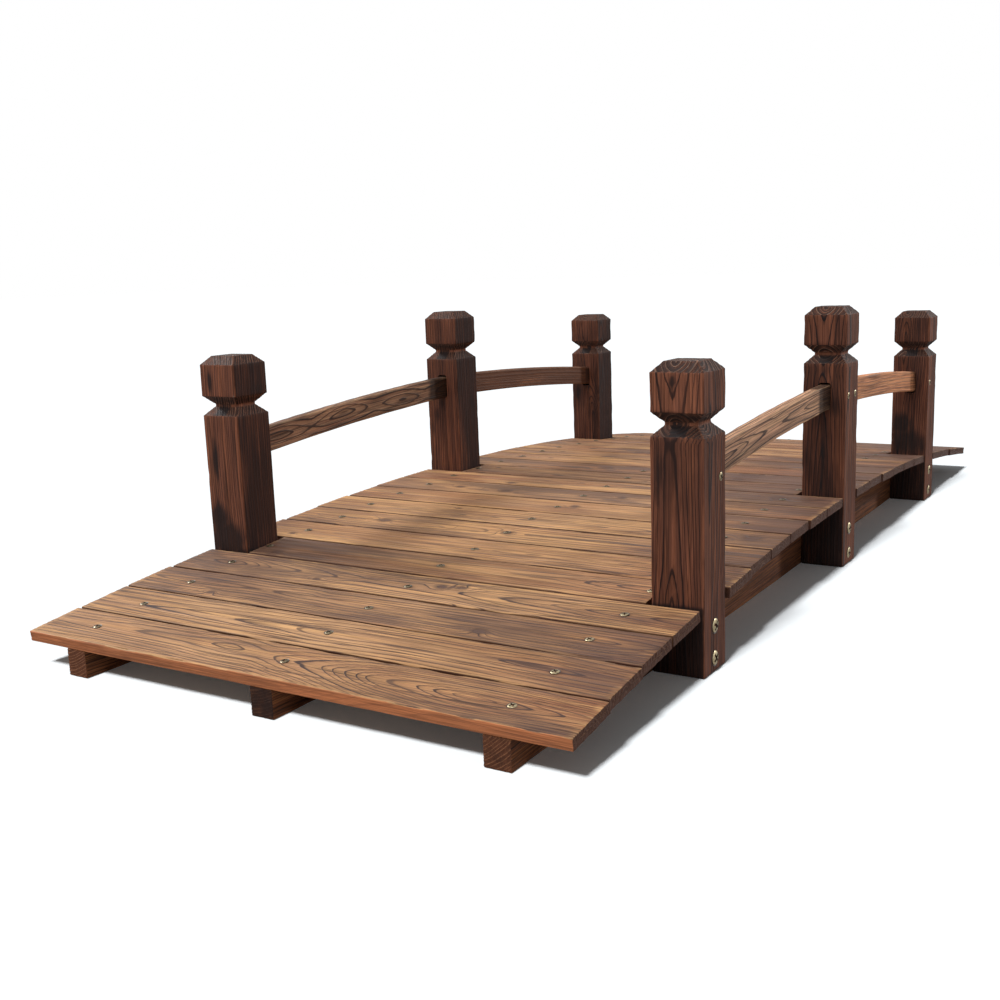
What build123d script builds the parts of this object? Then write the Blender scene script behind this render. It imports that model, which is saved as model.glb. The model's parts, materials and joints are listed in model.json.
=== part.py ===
from build123d import *
import math
import os

# A small arched garden footbridge in planed softwood: three stringers, flat below and arched above,
# a deck of boards screwed across them, three square posts a side with notched heads, and bowed
# handrails let into mortises in the posts.
# X runs along the bridge, Y across it and Z up. The origin is on the ground under the crown.
# Left is +Y, and the front is the -X end. Lengths are in millimetres.

# Stringers
bridge_length = 1600.0
stringer_end_height = 30.0
stringer_crown_height = 85.0
stringer_thickness = 28.0

# Posts
post_width = 57.5
end_post_height = 318.0
middle_post_height = 348.0
end_post_setback = 313.0    # from a bridge end to about the end post's centre
post_outer_gap = 4.75       # between an end post and the board on its ramp side
post_easing = 1.2           # chamfer along the long corners and round the foot

# Post heads: a V-shaped notch all round, and a flat top with a chamfered rim
cap_chamfer = 10.5
head_height = 39.0          # upright faces between the notch and the rim
notch_height = 24.5
notch_depth = 11.0
neck_flat = 2.5             # upright strip at the bottom of the notch

# Deck
deck_width = 670.0          # over the boards and over the posts, which stand flush
board_thickness = 12.0
board_gap = 2.0
post_room = 10.3            # what a board is wider than a post, which stands in one board's place
board_end_gap = 5.0         # between a short board's end and the post beside it
board_round = 1.5           # on the upper edges
board_bedding = 0.1         # under a board's middle, where its flat underside meets the arched stringer

# Handrails and their mortises
rail_depth = 33.0
rail_thickness = 15.0
rail_easing = 2.5           # chamfer along the long edges
rail_side_gap = 1.0         # each side of a rail in its mortise
rail_end_gap = 2.0          # behind a rail's end in its mortise
rail_seat_gap = 0.3         # where a rail bears on its mortise
mortise_slack = 3.0         # spare height of a mortise over its rail
mortise_drop = 25.0         # from the notch's foot to a mortise's ceiling
mortise_web = 12.0          # wood left between a middle post's two mortises

# The arch that the stringers are sawn to
arch_rise = stringer_crown_height - stringer_end_height
arch_radius = ((bridge_length / 2) ** 2 + arch_rise ** 2) / (2 * arch_rise)
arch_centre_z = stringer_crown_height - arch_radius
arch_length = 2 * arch_radius * math.asin(bridge_length / 2 / arch_radius)

# Boards: an odd number of them, so that one lies over the crown between the middle posts
widest_pitch = post_width + post_room + board_gap
board_count = 2 * round((arch_length / widest_pitch - 1) / 2) + 1
board_pitch = (arch_length + board_gap) / board_count
board_width = board_pitch - board_gap

# Posts take the place of a board's two ends at the crown and in one bay towards each bridge end
post_y = deck_width / 2 - post_width / 2
end_bay = round(arch_radius * math.asin((bridge_length / 2 - end_post_setback) / arch_radius) / board_pitch)
bay_outer_edge = arch_radius * math.sin((end_bay * board_pitch + board_pitch - board_width / 2) / arch_radius)
end_post_x = bay_outer_edge - post_outer_gap - post_width / 2
mortise_width = rail_thickness + 2 * rail_side_gap
mortise_height = rail_depth + mortise_slack
mortise_corner = rail_easing + 2 * rail_side_gap    # stays clear of the rail's eased edges
mortise_depth = (post_width - mortise_web) / 2


def mortise_ceiling(post_height):
    """Height of a mortise's ceiling above the ground, in a post of the given height."""
    return post_height - cap_chamfer - head_height - notch_height - mortise_drop


def stringer():
    """A beam with a flat underside, upright ends and an arched top."""
    half = bridge_length / 2
    outline = Polyline((-half, stringer_end_height), (-half, 0), (half, 0), (half, stringer_end_height))
    arch = ThreePointArc((half, stringer_end_height), (0, stringer_crown_height), (-half, stringer_end_height))
    return extrude(Plane.XZ * make_face(outline + arch), stringer_thickness / 2, both=True)


def board(bay):
    """A deck board, laid flat on the arch so many bays from the crown."""
    is_short = abs(bay) in (0, end_bay)
    length = deck_width - 2 * (post_width + board_end_gap) if is_short else deck_width
    plank = Pos(0, 0, board_thickness / 2) * Box(board_width, length, board_thickness)
    upper_edges = plank.faces().sort_by(Axis.Z)[-1].edges()
    plank = fillet(upper_edges, board_round)
    angle = bay * board_pitch / arch_radius
    radius = arch_radius + board_bedding
    x, z = radius * math.sin(angle), arch_centre_z + radius * math.cos(angle)
    return Pos(x, 0, z) * Rot(0, math.degrees(angle), 0) * plank


def mortise(height, side):
    """The hollow of a mortise in a post's face: side is 1 for the +X face, -1 for the -X face."""
    middle = mortise_ceiling(height) - mortise_height / 2
    mouth = Plane(origin=(side * post_width / 2, 0, middle), x_dir=(0, 1, 0), z_dir=(-side, 0, 0))
    return extrude(mouth * RectangleRounded(mortise_width, mortise_height, mortise_corner), mortise_depth)


def post(height, mortise_sides):
    """A square post standing at the origin, with a mortise in each of the given X faces."""
    half = post_width / 2
    head_top = height - cap_chamfer
    head_foot = head_top - head_height
    shaft_top = head_foot - notch_height
    slope = (notch_height - neck_flat) / 2
    side = [
        (half - post_easing, 0), (half, post_easing),
        (half, shaft_top), (half - notch_depth, shaft_top + slope),
        (half - notch_depth, head_foot - slope), (half, head_foot),
        (half, head_top), (half - cap_chamfer, height),
    ]
    outline = side + [(-x, z) for x, z in reversed(side)]
    slab = extrude(Plane.XZ * Polygon(*outline, align=None), half, both=True)
    shaft = extrude(chamfer(Rectangle(post_width, post_width).vertices(), post_easing), height)
    body = shaft & slab & (Rot(0, 0, 90) * slab)
    for face in mortise_sides:
        body -= mortise(height, face)
    return body


def rail():
    """The handrail from a middle post back to an end post, on the plane y = 0, with plumb ends."""
    near_x = post_width / 2
    far_x = end_post_x - post_width / 2
    near_z = mortise_ceiling(middle_post_height) - mortise_height + rail_seat_gap
    far_z = mortise_ceiling(end_post_height) - rail_seat_gap - rail_depth
    lower = arch_radius - rail_depth / 2
    upper = arch_radius + rail_depth / 2
    half_chord = math.hypot(far_x - near_x, near_z - far_z) / 2
    slope = math.atan2(near_z - far_z, far_x - near_x)
    drop = math.sqrt(lower ** 2 - half_chord ** 2)
    centre_x = (near_x + far_x) / 2 - drop * math.sin(slope)
    centre_z = (near_z + far_z) / 2 - drop * math.cos(slope)
    start = near_x - mortise_depth + rail_end_gap
    finish = far_x + mortise_depth - rail_end_gap

    def arc(radius):
        points = [
            (x, centre_z + math.sqrt(radius ** 2 - (x - centre_x) ** 2))
            for x in (start, (start + finish) / 2, finish)
        ]
        return ThreePointArc(*points)

    top, underside = arc(upper), arc(lower)
    ends = Line(top @ 0, underside @ 0) + Line(top @ 1, underside @ 1)
    bar = extrude(Plane.XZ * make_face(top + underside + ends), rail_thickness / 2, both=True)
    return chamfer(bar.edges().filter_by(GeomType.CIRCLE), rail_easing)


parts = {}

stringer_y = deck_width / 2 - post_width - stringer_thickness / 2
for name, y in (("left", stringer_y), ("middle", 0), ("right", -stringer_y)):
    parts[f"stringer_{name}"] = Pos(0, y, 0) * stringer()

half_count = board_count // 2
for bay in range(-half_count, half_count + 1):
    parts[f"deck_board_{bay + half_count + 1:02d}"] = board(bay)

back_rail = rail()
front_rail = mirror(back_rail, about=Plane.YZ)
for side_name, y in (("left", post_y), ("right", -post_y)):
    parts[f"post_{side_name}_front"] = Pos(-end_post_x, y, 0) * post(end_post_height, (1,))
    parts[f"post_{side_name}_middle"] = Pos(0, y, 0) * post(middle_post_height, (-1, 1))
    parts[f"post_{side_name}_back"] = Pos(end_post_x, y, 0) * post(end_post_height, (-1,))
    parts[f"rail_{side_name}_front"] = Pos(0, y, 0) * front_rail
    parts[f"rail_{side_name}_back"] = Pos(0, y, 0) * back_rail

os.makedirs("parts", exist_ok=True)
for name, solid in parts.items():
    export_step(solid, f"parts/{name}.step")
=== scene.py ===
import json
import math

import bmesh
import bpy
import numpy as np
from mathutils import Matrix, Vector

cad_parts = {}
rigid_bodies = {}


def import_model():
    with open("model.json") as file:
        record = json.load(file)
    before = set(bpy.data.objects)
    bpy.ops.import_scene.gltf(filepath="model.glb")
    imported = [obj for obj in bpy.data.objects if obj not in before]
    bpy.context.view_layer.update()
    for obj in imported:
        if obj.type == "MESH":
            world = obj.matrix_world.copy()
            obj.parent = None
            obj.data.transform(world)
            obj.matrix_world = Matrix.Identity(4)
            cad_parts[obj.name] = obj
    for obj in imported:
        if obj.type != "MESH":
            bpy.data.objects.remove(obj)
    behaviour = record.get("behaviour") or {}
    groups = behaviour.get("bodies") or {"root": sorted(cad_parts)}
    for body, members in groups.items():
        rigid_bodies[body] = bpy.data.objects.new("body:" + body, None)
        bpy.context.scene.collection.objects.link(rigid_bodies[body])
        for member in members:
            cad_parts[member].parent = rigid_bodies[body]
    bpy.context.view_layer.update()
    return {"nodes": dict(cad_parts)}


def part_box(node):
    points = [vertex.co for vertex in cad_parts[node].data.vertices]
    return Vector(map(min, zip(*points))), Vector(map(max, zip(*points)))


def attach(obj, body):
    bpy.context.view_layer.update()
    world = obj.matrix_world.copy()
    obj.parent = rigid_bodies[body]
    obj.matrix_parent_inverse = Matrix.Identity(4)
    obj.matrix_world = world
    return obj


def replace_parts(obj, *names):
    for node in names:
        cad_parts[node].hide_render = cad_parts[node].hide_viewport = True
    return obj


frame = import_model()

# The looks of a small arched garden footbridge in scorched and brushed softwood.
# The frame is the CAD model's: X along the bridge, Y across it, Z up, the ground at z = 0.
# Lengths are in millimetres until a mesh is put in its place.
MM = 0.001

# ---- sizes read from the frame
def box_mm(node):
    low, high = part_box(node)
    return np.array(low) / MM, np.array(high) / MM


def middle_mm(node):
    return sum(box_mm(node)) / 2


BOARDS = sorted(n for n in frame["nodes"] if n.startswith("deck_board_"))
BOARD_COUNT = len(BOARDS)
BEAM_HIGH = box_mm("stringer_middle")[1]
HALF_LENGTH = BEAM_HIGH[0]
CROWN = BEAM_HIGH[2]
BEAM_HALF_THICK = BEAM_HIGH[1]
BEAM_END_HEIGHT = 30.0
RISE = CROWN - BEAM_END_HEIGHT
ARCH_RADIUS = (HALF_LENGTH ** 2 + RISE ** 2) / (2 * RISE)
ARCH_CENTRE_Z = CROWN - ARCH_RADIUS
BOARD_GAP = 2.0
BOARD_THICK = 12.0
BOARD_BEDDING = 0.1
BOARD_PITCH = (2 * ARCH_RADIUS * math.asin(HALF_LENGTH / ARCH_RADIUS) + BOARD_GAP) / BOARD_COUNT
BOARD_WIDTH = BOARD_PITCH - BOARD_GAP

POST_HALF = 28.75
POST_EASING = 1.2
POST_CORE = 14.0            # half the width of a post's inside, where nothing is worn
CAP_CHAMFER = 10.5
HEAD = 39.0
NOTCH = 24.5
NOTCH_DEPTH = 11.0
NECK = 2.5
MORTISE_DROP = 25.0         # from the notch's foot to a mortise's ceiling
MORTISE_WIDE, MORTISE_TALL, MORTISE_DEEP, MORTISE_CORNER = 17.0, 36.0, 22.75, 4.5
RAIL_DEPTH, RAIL_THICK, RAIL_EASING = 33.0, 15.0, 2.5
RAIL_SEAT_GAP = 0.3
DECK_SCREW, FOOT_SCREW, RAIL_SCREW = 4.3, 7.4, 4.6      # the radii of the heads


# ---- the grain of a piece of wood
class Waves:
    """Smooth noise of about -1 to 1, a sum of sines, with a wavelength for each of the three coordinates."""

    def __init__(self, rng, lengths, count=7):
        directions = rng.normal(size=(count, 3))
        usual_length = 1.6      # of such a direction, so that the wavelengths come out as given
        self.k = 2 * math.pi * directions / np.array(lengths) / usual_length
        self.phase = rng.uniform(0, 2 * math.pi, count)
        self.scale = 1 / math.sqrt(count / 2)

    def __call__(self, p):
        most = 0.7      # brings nearly all of it within 1
        return np.sin(p @ self.k.T + self.phase).sum(axis=1) * self.scale * most


class Grain:
    """Growth rings about a wandering pith. Points are (along the grain, across, depth) in mm.
    pith is a list of (along, across, depth) that the pith runs through, spacing is a number or a list of
    (along, spacing), and knots is a list of (along, across, depth, direction in degrees, radius)."""

    POWER = 1.65    # of the distance from the pith: under 2 it makes the flames pointed
    NO_KNOT = 60.0  # how many radii away a knot is where there is none

    def __init__(self, seed, pith, spacing, knots=()):
        rng = np.random.default_rng(seed)
        self.pith = np.array(pith, float)
        self.spacing = spacing
        self.knots = knots
        self.slow = Waves(rng, (620, 130, 130))
        self.quick = Waves(rng, (240, 46, 46))
        self.small = Waves(rng, (90, 17, 17))
        self.uneven = rng.uniform(0, 2 * math.pi, 3)[:2]
        self.offset = rng.uniform(-40, 40, 3)

    def centre(self, s):
        return [self.bend(s, self.pith[:, 0], self.pith[:, i]) for i in (1, 2)]

    @staticmethod
    def bend(x, xs, ys):
        """ys at x, eased between the points."""
        i = np.clip(np.searchsorted(xs, x) - 1, 0, len(xs) - 2)
        t = np.clip((x - xs[i]) / (xs[i + 1] - xs[i]), 0, 1)
        t = 0.5 * t + 0.5 * t * t * (3 - 2 * t)
        return ys[i] + (ys[i + 1] - ys[i]) * t

    def near_knot(self, p):
        """Each point's place relative to the nearest knot's axis, in knot radii."""
        best = np.full((len(p), 3), self.NO_KNOT)
        nearest = np.full(len(p), 1e9)
        for s, u, v, angle, radius in self.knots:
            a = math.radians(angle)
            along = (p[:, 1] - u) * math.cos(a) + (p[:, 2] - v) * math.sin(a)
            aside = (p[:, 2] - v) * math.cos(a) - (p[:, 1] - u) * math.sin(a)
            ds = p[:, 0] - s - 0.25 * along
            aside = np.where(along > 0, aside, aside + self.NO_KNOT * radius)
            d = np.hypot(ds, aside) / radius
            take = d < nearest
            nearest = np.where(take, d, nearest)
            place = np.stack([ds / radius, aside / radius, np.zeros(len(p))], 1)
            best[take] = place[take]
        return best

    def rings(self, p):
        """How many rings lie between each point and the pith."""
        u0, v0 = self.centre(p[:, 0])
        r = (np.abs(p[:, 1] - u0) ** self.POWER + np.abs(p[:, 2] - v0) ** self.POWER) ** (1 / self.POWER)
        r = r + (2.0 * self.slow(p) + 0.45 * self.quick(p) + 0.16 * self.small(p))
        place = self.near_knot(p)
        swell = np.exp(-(place[:, 0] / 3.4) ** 2 - (place[:, 1] / 2.0) ** 2)
        spacing = self.spacing
        if not np.isscalar(spacing):
            spacing = np.interp(p[:, 0], *np.transpose(spacing))
        ring = r / spacing + 2.0 * swell
        a, b = self.uneven
        return ring + 0.22 * np.sin(ring * 0.9 + a) + 0.14 * np.sin(ring * 2.3 + b)


def latewood(ring):
    """How proud the brushed wood stands, 0 to 1: the hard late wood of each ring is the ridge."""
    return 0.5 + 0.5 * np.cos(2 * math.pi * (ring - 0.85))


# ---- meshes
def quads(rows, columns):
    """Faces of a closed tube of vertices numbered row by row."""
    r, c = np.meshgrid(np.arange(rows - 1), np.arange(columns), indexing="ij")
    n = (c + 1) % columns
    corners = [r * columns + c, r * columns + n, (r + 1) * columns + n, (r + 1) * columns + c]
    return np.stack(corners, -1).reshape(-1, 4)


def end_loops(loop):
    """Smaller and smaller loops that fill a flat end, down to a sliver along its middle."""
    low, high = loop.min(axis=0), loop.max(axis=0)
    centre, half = (low + high) / 2, (high - low) / 2
    wide = half > 0.05 * half.max()
    inset = np.where(wide, half[wide].min() / np.where(wide, half, 1.0), 0.0)
    return [centre + (loop - centre) * (1 - k * inset) for k in (0.2, 0.42, 0.66, 0.9)]


def new_mesh(name, points, faces):
    mesh = bpy.data.meshes.new(name)
    mesh.from_pydata(points.tolist(), [], faces)
    mesh.validate()
    mesh.update()
    return mesh


def tube_mesh(name, rows, filled=False):
    """A mesh from loops of points, rows[row, column]. Each end is one face, or smaller loops if filled."""
    if filled:
        rows = np.array([*end_loops(rows[0])[::-1], *rows, *end_loops(rows[-1])])
    count, columns, _ = rows.shape
    faces = quads(count, columns).tolist()
    faces.append(list(range(columns))[::-1])
    faces.append([(count - 1) * columns + c for c in range(columns)])
    return new_mesh(name, rows.reshape(-1, 3), faces)


def points_of(mesh, what="co"):
    p = np.empty(len(mesh.vertices) * 3)
    mesh.vertices.foreach_get(what, p)
    return p.reshape(-1, 3)


def set_points(mesh, p):
    mesh.vertices.foreach_set("co", np.ascontiguousarray(p, dtype=np.float32).ravel())
    mesh.update()


def set_attribute(mesh, name, values, domain="POINT"):
    """Gives each point or face of a mesh a number or a vector that its material reads."""
    kind, key = ("FLOAT", "value") if np.ndim(values) == 1 else ("FLOAT_VECTOR", "vector")
    attribute = mesh.attributes.new(name, kind, domain)
    attribute.data.foreach_set(key, np.ascontiguousarray(values, dtype=np.float32).ravel())


def new_object(name, data):
    obj = bpy.data.objects.new(name, data)
    bpy.context.scene.collection.objects.link(obj)
    return obj


def new_piece(name, mesh, material, crease):
    """A smooth piece of the bridge, with edges kept sharp from an angle of crease degrees."""
    mesh.polygons.foreach_set("use_smooth", [True] * len(mesh.polygons))
    mesh.set_sharp_from_angle(angle=math.radians(crease))
    mesh.materials.append(material)
    piece = new_object(name, mesh)
    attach(piece, "root")
    return piece


def finish_wood(mesh, local, grain, relief, wear, soot_and_shade, look, place, material, node):
    """Brushes the grain into a mesh, stores what its material needs, and puts it in its node's place.
    local gives (along, across, depth) for points, and place moves points into the bridge's frame.
    The wear, blackening and look functions give each point's rubbing, its blackening, which is partly char
    and partly painted shade, and its (tone, scorching, warmth)."""
    p = points_of(mesh)
    if relief:
        hollow = (1 - latewood(grain.rings(local(p)))) * relief
        set_points(mesh, p - points_of(mesh, "normal") * hollow[:, None])
    q = local(p)
    attributes = {"ring": grain.rings(q), "fibre": q * MM + grain.offset, "knot": grain.near_knot(q),
                  "wear": wear(p), "soot_and_shade": soot_and_shade(p), "look": look(p)}
    for name, values in attributes.items():
        set_attribute(mesh, name, values)
    set_points(mesh, place(points_of(mesh)) * MM)
    kind, _, rest = node.removeprefix("deck_").partition("_")
    name = {"board": "plank", "stringer": "beam", "post": "newel", "rail": "handrail"}[kind] + "_" + rest
    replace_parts(new_piece(name, mesh, material, 38), node)


def spaced(low, high, step):
    """Numbers from low to high, about a step apart."""
    return np.linspace(low, high, max(2, int(round((high - low) / step)) + 1))


def section_loop(half_u, low_v, high_v, steps, eases):
    """A rectangle's outline, with eased corners, as a loop of (across, depth).
    steps are for the top, the sides and the bottom; eases are for the upper and lower corners."""
    top, side, bottom = steps
    upper, lower = eases
    centres = [(half_u - upper, high_v - upper, upper), (upper - half_u, high_v - upper, upper),
               (lower - half_u, low_v + lower, lower), (half_u - lower, low_v + lower, lower)]
    corners = []
    for quarter, (u, v, ease) in enumerate(centres):
        a = np.radians(90 * quarter + np.array([0, 30, 60, 90.0]))
        corners.append(np.stack([u + ease * np.cos(a), v + ease * np.sin(a)], 1))
    loops = []
    for corner, following, step in zip(corners, [*corners[1:], corners[0]], (top, side, bottom, side)):
        a, b = corner[-1], following[0]
        n = max(1, int(round(math.dist(a, b) / step)))
        t = np.linspace(0, 1, n + 1)[1:-1, None]
        loops += [corner, a * (1 - t) + b * t]
    return np.concatenate(loops)


# ---- materials
def linear(r, g, b):
    """A colour written as sRGB 0 to 255, all above 10."""
    return tuple(((c / 255 + 0.055) / 1.055) ** 2.4 for c in (r, g, b)) + (1.0,)


class Nodes:
    """Short ways to add and link the shader nodes of a material or a world."""

    def __init__(self, owner):
        owner.use_nodes = True
        self.tree = owner.node_tree
        self.tree.nodes.clear()

    def add(self, kind, props=(), **inputs):
        node = self.tree.nodes.new(kind)
        for key, value in dict(props).items():
            setattr(node, key, value)
        for key, value in inputs.items():
            self.put(node.inputs[key.replace("_", " ")], value)
        return node

    def put(self, socket, value):
        if isinstance(value, bpy.types.NodeSocket):
            self.tree.links.new(value, socket)
        else:
            socket.default_value = value

    def finish(self, shader, kind="Material"):
        self.put(self.add("ShaderNodeOutput" + kind).inputs[0], shader.outputs[0])

    def math(self, operation, a, b=0.0, clamp=False):
        node = self.add("ShaderNodeMath", {"operation": operation, "use_clamp": clamp})
        for socket, value in zip(node.inputs, (a, b)):
            self.put(socket, value)
        return node.outputs[0]

    def plus(self, a, b, clamp=False):
        return self.math("ADD", a, b, clamp)

    def times(self, a, b, clamp=False):
        return self.math("MULTIPLY", a, b, clamp)

    def most(self, a, b):
        return self.math("MAXIMUM", a, b)

    def about_zero(self, value, strength):
        """A value of 0 to 1 turned into one that is as often below zero as above."""
        return self.times(self.math("SUBTRACT", value, 0.5), strength)

    def smooth(self, value, low, high, to_low=0.0, to_high=1.0):
        node = self.add("ShaderNodeMapRange", {"interpolation_type": "SMOOTHSTEP"})
        keys = ("Value", "From Min", "From Max", "To Min", "To Max")
        for key, x in zip(keys, (value, low, high, to_low, to_high)):
            self.put(node.inputs[key], x)
        return node.outputs[0]

    def shaded(self, colour, shade):
        grey = self.add("ShaderNodeCombineXYZ", X=shade, Y=shade, Z=shade).outputs[0]
        return self.mix(1.0, colour, grey, "MULTIPLY")

    def mix(self, factor, a, b, blend="MIX"):
        node = self.add("ShaderNodeMix", {"data_type": "RGBA", "blend_type": blend})
        self.put(node.inputs[0], factor)
        self.put(node.inputs[6], a)
        self.put(node.inputs[7], b)
        return node.outputs[2]

    def scaled(self, vector, scale):
        node = self.add("ShaderNodeVectorMath", {"operation": "MULTIPLY"})
        self.put(node.inputs[0], vector)
        self.put(node.inputs[1], scale)
        return node.outputs[0]

    def noise(self, vector, scale, detail=2.0, roughness=0.5):
        return self.add("ShaderNodeTexNoise", Vector=self.scaled(vector, scale), Scale=1.0,
                        Detail=detail, Roughness=roughness).outputs[0]

    def attribute(self, name, output):
        return self.add("ShaderNodeAttribute", {"attribute_name": name}).outputs[output]

    def split(self, vector):
        return self.add("ShaderNodeSeparateXYZ", Vector=vector).outputs


def wood(name, axis, colours, line=0.92, thin=0.7, steady=0.6, fine=0.4, edge=0.6, gloss=0.2, golden=0.35,
         hairs=0.75):
    """Scorched and brushed softwood. axis is the grain's, 0 to 2, and colours are the eight unpacked below.
    line is the strength of the dark late wood, thin where in a ring it starts, and steady how even it is from
    ring to ring. fine, edge, golden and hairs are the strengths of fibres, worn edges, pale streaks and thin
    dark strokes. Where a mesh's "calm" is near 1, the wood has fainter lines and more gold."""
    pale, mid, late, scorched, worn, cut, arc, black = (linear(*c) for c in colours)
    material = bpy.data.materials.new(name)
    g = Nodes(material)
    fibre, knot = (g.attribute(key, "Vector") for key in ("fibre", "knot"))
    ring, wear, soot_and_shade, calm = (g.attribute(key, "Fac") for key in ("ring", "wear", "soot_and_shade", "calm"))
    tone, char, warm = g.split(g.attribute("look", "Vector"))

    # Noise that is long with the grain: a scale is in waves to a metre, with the grain and across it
    fine_streaks = g.noise(fibre, (14, 800, 800), 4.0, 0.65)
    streaks = g.noise(fibre, (4.5, 190, 190), 4.0, 0.6)
    patches = g.noise(fibre, (6.5, 26, 26), 3.0, 0.55)
    drift = g.noise(fibre, (30, 150, 150), 1.0)

    # Rings: pale early wood that darkens into a hard line of late wood
    moved = g.plus(ring, g.about_zero(drift, 0.22))
    moved = g.plus(moved, g.about_zero(fine_streaks, 0.08))
    part = g.math("FRACT", moved)
    ramp = g.times(g.smooth(part, 0.3, 0.95), 0.3)
    core = g.times(g.smooth(part, thin, thin + 0.12), 0.7)
    late_wood = g.times(g.plus(ramp, core), g.smooth(part, 1.0, 0.94))
    each = g.add("ShaderNodeTexWhiteNoise", {"noise_dimensions": "1D"}, W=g.math("FLOOR", moved))
    strength = g.smooth(each.outputs["Value"], 0.0, 0.8, steady, 1.0)
    strength = g.times(strength, g.smooth(patches, 0.25, 0.6, 0.8, 1.0))
    dark_line = g.times(late_wood, g.times(strength, line))
    pencil = g.smooth(g.noise(fibre, (7, 460, 460), 2.0, 0.5), 0.55, 0.66, 0.0, hairs)
    dark_line = g.most(dark_line, g.times(pencil, line))
    pith = g.smooth(moved, 0.75, 0.4, 0.0, 0.7)
    dark_line = g.most(dark_line, pith)
    dark_line = g.times(dark_line, g.smooth(calm, 0.0, 1.0, 1.0, 0.42))

    # Early wood: two browns in streaks, with each piece's own tone
    blend = g.plus(g.about_zero(streaks, 0.9), tone)
    blend = g.plus(blend, g.about_zero(patches, 1.5), clamp=True)
    colour = g.mix(blend, pale, mid)
    colour = g.mix(g.times(warm, g.smooth(streaks, 0.4, 0.7), clamp=True), colour, worn)
    colour = g.mix(g.smooth(g.noise(fibre, (3.0, 75, 75), 3.0, 0.6), 0.5, 0.72, 0.0, 0.55), colour, scorched)
    gold = g.smooth(g.noise(fibre, (3.6, 32, 32), 2.0, 0.5), 0.5, 0.7)
    colour = g.mix(g.times(gold, g.smooth(calm, 0.0, 1.0, golden, 0.6)), colour, worn)
    glint = g.smooth(g.noise(fibre, (8, 560, 560), 2.0, 0.5), 0.55, 0.68, 0.0, 0.25 + golden)
    colour = g.mix(glint, colour, worn)

    # Faces left plain from the saw, where the piece's warmth is 2
    plain = g.smooth(warm, 1.1, 1.9)
    colour = g.mix(plain, colour, g.mix(g.smooth(patches, 0.3, 0.7, 0.0, 0.35), linear(204, 126, 82), mid))
    dark_line = g.times(dark_line, g.smooth(plain, 0.0, 1.0, 1.0, 0.25))

    colour = g.shaded(colour, g.smooth(fine_streaks, 0.32, 0.68, 1.0 - fine, 1.0 + fine * 0.8))
    colour = g.mix(dark_line, colour, late)

    # Scorching in long soft patches, stronger where the piece says so
    burn = g.plus(g.noise(fibre, (4.2, 17, 17), 4.0, 0.6), g.times(char, 0.5))
    burn = g.smooth(burn, 0.52, 0.8, 0.0, 0.8)
    colour = g.mix(burn, colour, scorched)
    colour = g.mix(g.times(dark_line, g.times(burn, 0.7)), colour, late)

    # Knots: a dark heart with rings of its own
    warp = g.add("ShaderNodeTexNoise", Vector=g.scaled(fibre, (160, 160, 160)), Scale=1.0, Detail=1.0)
    warped = g.add("ShaderNodeVectorMath", {"operation": "ADD"})
    g.put(warped.inputs[0], g.scaled(knot, (0.8, 1.0, 1.0)))
    g.put(warped.inputs[1], g.scaled(warp.outputs[1], (0.5, 0.5, 0.0)))
    reach = g.add("ShaderNodeVectorMath", {"operation": "LENGTH"}, Vector=warped.outputs[0]).outputs["Value"]
    heart = g.smooth(reach, 1.25, 0.85)
    knot_rings = g.times(g.math("SINE", g.times(reach, 15.0)), 0.18)
    halo = g.smooth(reach, 2.6, 1.0, 0.0, 0.5)
    colour = g.mix(halo, colour, late)
    colour = g.mix(g.times(heart, g.plus(knot_rings, 0.78)), colour, scorched)

    # Sawn ends show the rings as arcs in a darker, duller wood
    facing = g.split(g.add("ShaderNodeNewGeometry").outputs["True Normal"])[axis]
    end = g.smooth(g.math("ABSOLUTE", facing), 0.5, 0.78)
    ridge = g.times(g.smooth(late_wood, 0.35, 0.85), g.smooth(patches, 0.3, 0.62, 0.25, 1.0))
    speckle = g.smooth(g.noise(fibre, (700, 700, 700), 2.0), 0.35, 0.65, 0.75, 1.15)
    colour = g.mix(end, colour, g.shaded(g.mix(ridge, cut, arc), speckle))

    # Blackened places, some of them char and some painted shade, with a mottled edge
    mottled = g.plus(soot_and_shade, g.about_zero(g.noise(fibre, (28, 90, 90), 3.0), 0.9))
    mottled = g.times(g.smooth(mottled, 0.15, 0.9), g.smooth(soot_and_shade, 0.0, 0.35, 0.0, 0.86))
    colour = g.mix(mottled, colour, black)

    # Edges rubbed back to paler wood in broken dashes
    dashes = g.plus(g.noise(fibre, (22, 60, 60), 3.0, 0.6), g.times(late_wood, 0.3))
    rub = g.times(wear, g.smooth(dashes, 0.46, 0.66))
    colour = g.mix(g.times(rub, edge), colour, worn)

    height = g.plus(g.times(late_wood, 0.55), g.times(fine_streaks, 0.8))
    height = g.plus(height, g.times(streaks, 0.5))
    height = g.math("SUBTRACT", height, g.times(heart, 0.5))
    bump = g.add("ShaderNodeBump", Height=height, Strength=0.75, Distance=0.00045)
    roughness = g.smooth(g.plus(streaks, g.times(late_wood, -0.25)), 0.1, 0.8, 0.54, 0.8)
    shader = g.add("ShaderNodeBsdfPrincipled", Base_Color=colour, Roughness=roughness, Normal=bump.outputs[0])
    shader.inputs["Specular IOR Level"].default_value = gloss
    g.finish(shader)
    return material


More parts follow.
